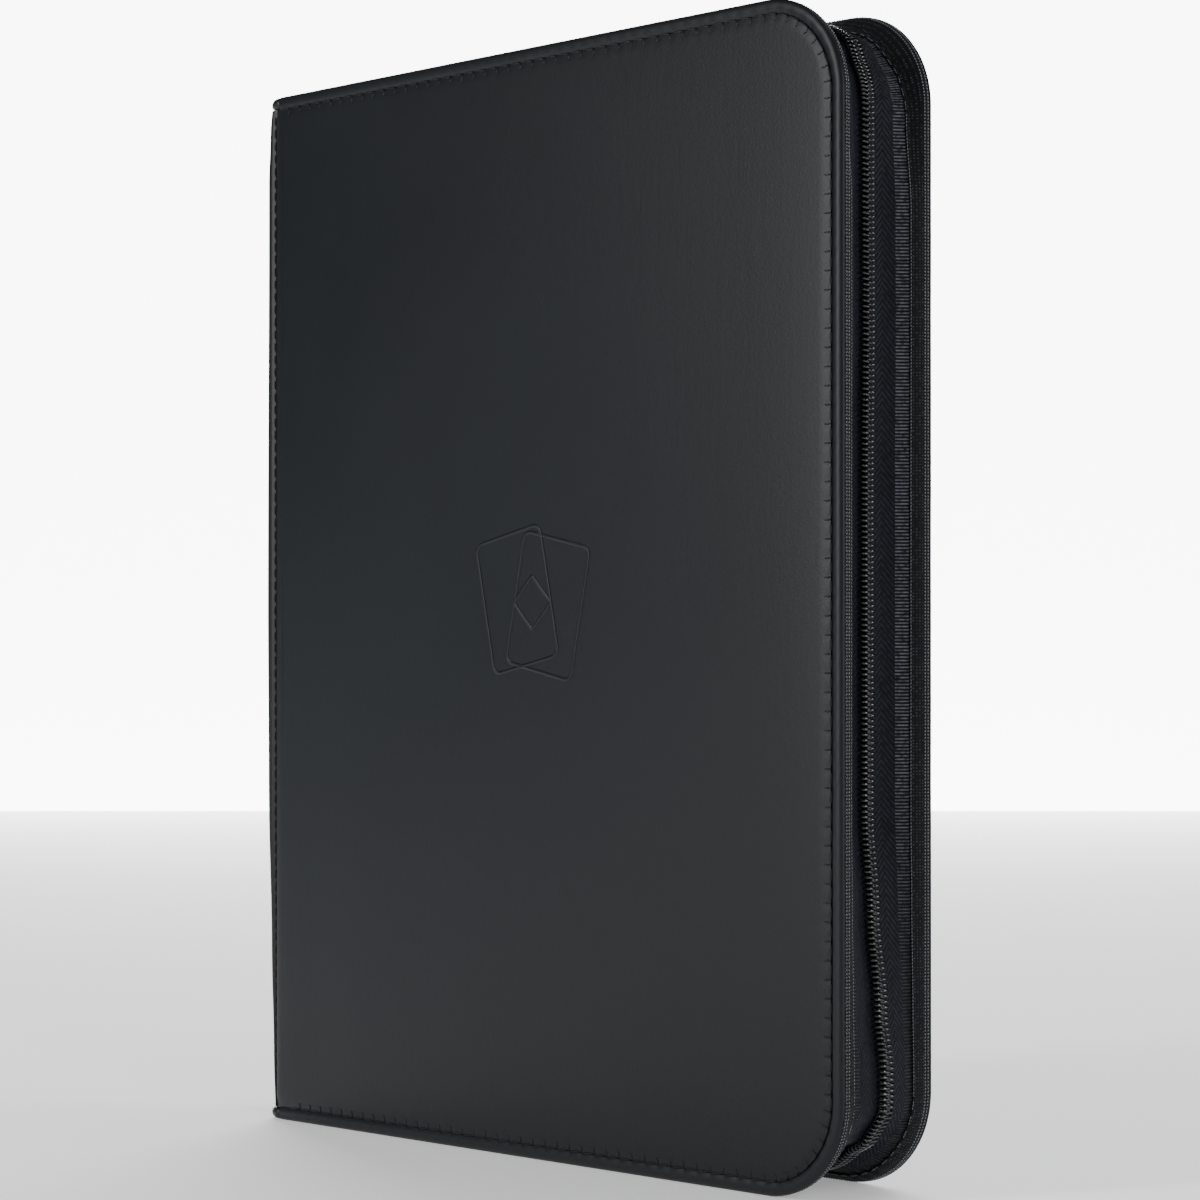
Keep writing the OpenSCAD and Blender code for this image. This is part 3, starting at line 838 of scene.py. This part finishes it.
def end_tab(z, upward):
    """Woven cloth that closes one end of the gusset at the spine: up the spine's lining, then
    across to the zip, with a little slack."""
    low, high = (Vector(p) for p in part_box("top_end_tab" if upward else "bottom_end_tab"))
    sign = 1 if upward else -1
    path = [(low.x + 0.6 * MM, -3.5), (low.x + 0.6 * MM, -1.4), (low.x + 1.2 * MM, -0.4),
            (low.x + 2.4 * MM, 0), (low.x + 4.2 * MM, -0.35), (low.x + 6 * MM, -0.4), (high.x, -0.1)]
    bm = bmesh.new()
    along = bm.verts.layers.float.new("along")
    across = bm.verts.layers.float.new("across")
    row = [bm.verts.new((x, low.y, z + sign * d * MM)) for x, d in path]
    edges = [bm.edges.new(pair) for pair in zip(row, row[1:])]
    for k in range(29):
        made = bmesh.ops.extrude_edge_only(bm, edges=edges)["geom"]
        fresh = [v for v in made if isinstance(v, bmesh.types.BMVert)]
        edges = [e for e in made if isinstance(e, bmesh.types.BMEdge) and all(v in fresh for v in e.verts)]
        bmesh.ops.translate(bm, verts=fresh, vec=(0, (high.y - low.y) / 29, 0))
    for v in bm.verts:
        v.co.z += 0.25 * MM * noise.noise(v.co * 180.0)
        v[along] = v.co.y
        v[across] = v.co.x
    bmesh.ops.solidify(bm, geom=bm.faces, thickness=0.9 * MM)
    return bm


# ---- a plain pressed mark of two card outlines in the middle of the front cover ----

def card_outline(width, height, radius, turn, centre):
    """Points round a rounded rectangle, turned about its centre."""
    points = []
    for cx, cz, a0 in ((1, 1, 0), (-1, 1, 90), (-1, -1, 180), (1, -1, 270)):
        for k in range(7):
            a = math.radians(a0 + 15 * k)
            points.append(Vector((cx * (width / 2 - radius) + radius * math.cos(a),
                                  cz * (height / 2 - radius) + radius * math.sin(a))))
    spun = []
    for i, p in enumerate(points):
        q = points[(i + 1) % len(points)]
        parts = max(1, round((q - p).length / (2 * MM)))
        spun += [p.lerp(q, k / parts) for k in range(parts)]
    rot = Matrix.Rotation(math.radians(turn), 2)
    return [centre + rot @ p for p in spun]


def pressed_mark(panel):
    """Thin raised lines of leather that follow the padded surface."""
    bm = bmesh.new()
    middle = Vector((CREASE_X + 0.5 * (FORE_X - CREASE_X), TOP / 2))
    shapes = [card_outline(30 * MM, 42 * MM, 3 * MM, turn, middle + Vector((dx * MM, dz * MM)))
              for turn, dx, dz in ((12, -7, 1), (-12, 7, -1))]
    shapes.append(card_outline(12 * MM, 12 * MM, 0.6 * MM, 45, middle))
    for outline in shapes:
        rings = []
        count = len(outline)
        for i, p in enumerate(outline):
            found, at, normal, _ = panel.ray_cast(Vector((p.x, -HALF - 10 * MM, p.y)), Vector((0, 1, 0)))
            ahead = outline[(i + 1) % count] - outline[i - 1]
            side = Vector((ahead.y, 0, -ahead.x)).normalized()
            rings.append([bm.verts.new(at + side * u * MM - Vector((0, 1, 0)) * h * MM)
                          for u, h in ((-0.8, -0.2), (-0.45, 0.18), (0, 0.34), (0.45, 0.18), (0.8, -0.2))])
        loops = [[bm.edges.new((r[i - 1], r[i])) for i in range(5)] for r in rings]
        for a, b in zip(loops, loops[1:] + loops[:1]):
            bmesh.ops.bridge_loops(bm, edges=a + b)
    return bm


# ---- make everything ----

for side_name, side in SIDES.items():
    body = side_name + "_cover"
    panel = piece(cover_panel(side), side_name + "_padded_panel", LEATHER)
    settle(panel, body, "pu_leather", side_name + "_leather")
    settle(piece(hem(side), side_name + "_rolled_hem", LEATHER), body, "pu_leather", side_name + "_leather")
    settle(piece(cover_stitches(side), side_name + "_cover_stitches", THREAD, recalc=False), body, "thread",
           side_name + "_stitching")
    settle(piece(puckers(side), side_name + "_stitch_puckers", LEATHER, recalc=False), body, "pu_leather")
    gusset = piece(sweep(gusset_section(), GUSSET_X, 0.0, 1.0 * MM, side, sink=True, ripple=0.4 * MM),
                   side_name + "_woven_gusset", WOVEN)
    settle(gusset, body, "woven_band", side_name + "_gusset")
    tape = piece(sweep(tape_section(), GUSSET_X, 0.0, 1.0 * MM, side, sink=True, ripple=0.25 * MM),
                 side_name + "_herringbone_tape", TAPE)
    settle(tape, body, "zip_tape", side_name + "_zip_tape")
    for row_name, row in {
        "hem_seam": (0.3, HALF / MM - 1.9, 0, 1.0 * MM, 0.7 * MM, 0.36 * MM, 0.5),
        "inner_hem_seam": (0.42, HALF / MM - 3.1, 0, 1.0 * MM, 0.7 * MM, 0.36 * MM, 0.5),
        "selvage_seam": (2.45, HALF / MM - 6.8, 0.15, 1.0 * MM, 0.8 * MM, 0.26 * MM, 0.2),
    }.items():
        settle(piece(seam_row(side, *row), side_name + "_" + row_name, SEAM_THREAD, recalc=False),
               body, "thread")

loop_mesh = coil_loop()
edge_total = edge_length(GUSSET_X)
front_coil_first = 18.5 * MM
settle(piece(coil(-1, loop_mesh, front_coil_first, edge_total - 1.5 * MM), "front_coil", NYLON, recalc=False),
       "front_cover", "zip_coil", "front_zip_coil")
settle(piece(coil(1, loop_mesh, 1.5 * MM, edge_total - 1.5 * MM), "back_coil", NYLON, recalc=False),
       "back_cover", "zip_coil", "back_zip_coil")
settle(piece(coil(-1, loop_mesh, 13.5 * MM, front_coil_first), "locked_coil_end", NYLON, recalc=False),
       "back_cover", "zip_coil")

settle(piece(spine_skin(), "spine_skin", LEATHER), "spine", "pu_leather", "spine_leather")
settle(piece(spine_layer("spine_board"), "bent_spine_board", GREYBOARD),
       "spine", "greyboard", "spine_board")
settle(piece(spine_layer("spine_lining"), "bent_spine_lining", LINING),
       "spine", "lining_cloth", "spine_lining")
settle(piece(spine_stitches(), "spine_stitches", THREAD, recalc=False), "spine", "thread", "spine_stitching")
for end, z in (("top", TOP - 2.2 * MM), ("bottom", 2.2 * MM)):
    settle(piece(spine_hem(z), end + "_spine_hem", LEATHER), "spine", "pu_leather")
for end in ("top", "bottom"):
    low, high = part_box(end + "_end_tab")
    tab = piece(end_tab((low[2] + high[2]) / 2, end == "top"), end + "_cloth_tab", WOVEN)
    settle(tab, "spine", "woven_band", end + "_end_tab")
for side_name, side in SIDES.items():
    strip = piece(crease_strip(side), side_name + "_crease", LEATHER)
    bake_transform(strip, "spine", side_name + "_cover", start=(CREASE_X - 1.6 * MM, side * HALF, TOP / 2),
             end=(CREASE_X + 1.6 * MM, side * HALF, TOP / 2))

bpy.context.view_layer.update()
front_panel = bpy.data.objects["front_padded_panel"]
settle(piece(pressed_mark(front_panel), "pressed_card_mark", LEATHER), "front_cover", "pu_leather")

# CAD pieces whose shape is right keep it and take their real finish
for node in frame["nodes"]:
    obj = bpy.data.objects.get(node)
    if obj is None:
        continue
    finish = None
    if node.endswith("lining"):
        finish = LINING
    elif node.endswith("board"):
        finish = GREYBOARD
    elif node.endswith("foam"):
        finish = FOAM
    elif node.startswith("page"):
        finish = FILM
    elif node.startswith("slider") or node.endswith("stop"):
        finish = PLATED
    if finish:
        obj.data.materials.clear()
        obj.data.materials.append(finish)

# ---- floor, light and camera ----

def staging(name, width, height, place, turn, material):
    """A flat plane that isn't part of the object."""
    bm = bmesh.new()
    bmesh.ops.create_grid(bm, x_segments=1, y_segments=1, size=0.5,
                          matrix=Matrix.Translation(place) @ turn @ Matrix.Diagonal((width, height, 1, 1)))
    obj = piece(bm, name, material, recalc=False)


def lit_white(name, glow):
    """White studio paper, lit from behind where it glows."""
    material, tree, shader, place = new_material(name, 0.9, Base_Color=(0.9, 0.9, 0.9, 1),
                                                 Emission_Strength=glow)
    shader.inputs["Emission Color"].default_value = (1, 1, 1, 1)
    return material


staging("floor", 12, 12, (0, 0, 0), Matrix.Identity(4), lit_white("white_floor_paper", 0.3))
staging("backdrop", 2.4, 3.0, (-1.78, 1.75, 0.6),
        Matrix.Rotation(math.radians(45.6), 4, "Z") @ Matrix.Rotation(math.radians(90), 4, "X"),
        lit_white("lit_backdrop_paper", 8.0))

world = bpy.data.worlds.new("studio")
bpy.context.scene.world = world
world.use_nodes = True
world.node_tree.nodes["Background"].inputs[0].default_value = (0.92, 0.96, 1, 1)
world.node_tree.nodes["Background"].inputs[1].default_value = 0.1


def soft_light(name, place, target, size, power, colour=(1, 1, 1)):
    light = bpy.data.lights.new(name, "AREA")
    light.shape = "RECTANGLE"
    light.size, light.size_y = size
    light.energy = power
    light.color = colour
    obj = bpy.data.objects.new(name, light)
    obj.location = place
    obj.rotation_euler = (Vector(target) - Vector(place)).to_track_quat("-Z", "Y").to_euler()
    bpy.context.scene.collection.objects.link(obj)


soft_light("front_softbox", (-0.42, -1.35, 0.66), (0.13, 0, 0.24), (0.2, 1.0), 14)
soft_light("right_strip", (1.55, -0.5, 0.45), (0.13, 0, 0.2), (0.25, 1.2), 9)
soft_light("right_back_strip", (1.25, 1.15, 0.6), (0.13, 0, 0.2), (0.3, 1.0), 11)
soft_light("left_strip", (-1.5, 0.05, 0.6), (-0.13, 0, 0.2), (0.3, 0.9), 0.8)
soft_light("low_cool_fill", (-1.4, -1.0, 0.1), (-0.1, 0, 0.05), (0.8, 0.3), 0.5, (0.45, 0.6, 1))
soft_light("overhead", (0.35, 0.35, 1.9), (0, 0, 0.2), (1.2, 1.2), 8)

camera_data = bpy.data.cameras.new("camera")
camera_data.sensor_width = 36
camera_data.lens = 97.1
camera_data.shift_y = 0.058
camera = bpy.data.objects.new("camera", camera_data)
camera.location = (0.7445, -0.7165, 0.154)
camera.rotation_euler = (math.radians(90), 0, math.radians(45.6))
bpy.context.scene.collection.objects.link(camera)
bpy.context.scene.camera = camera
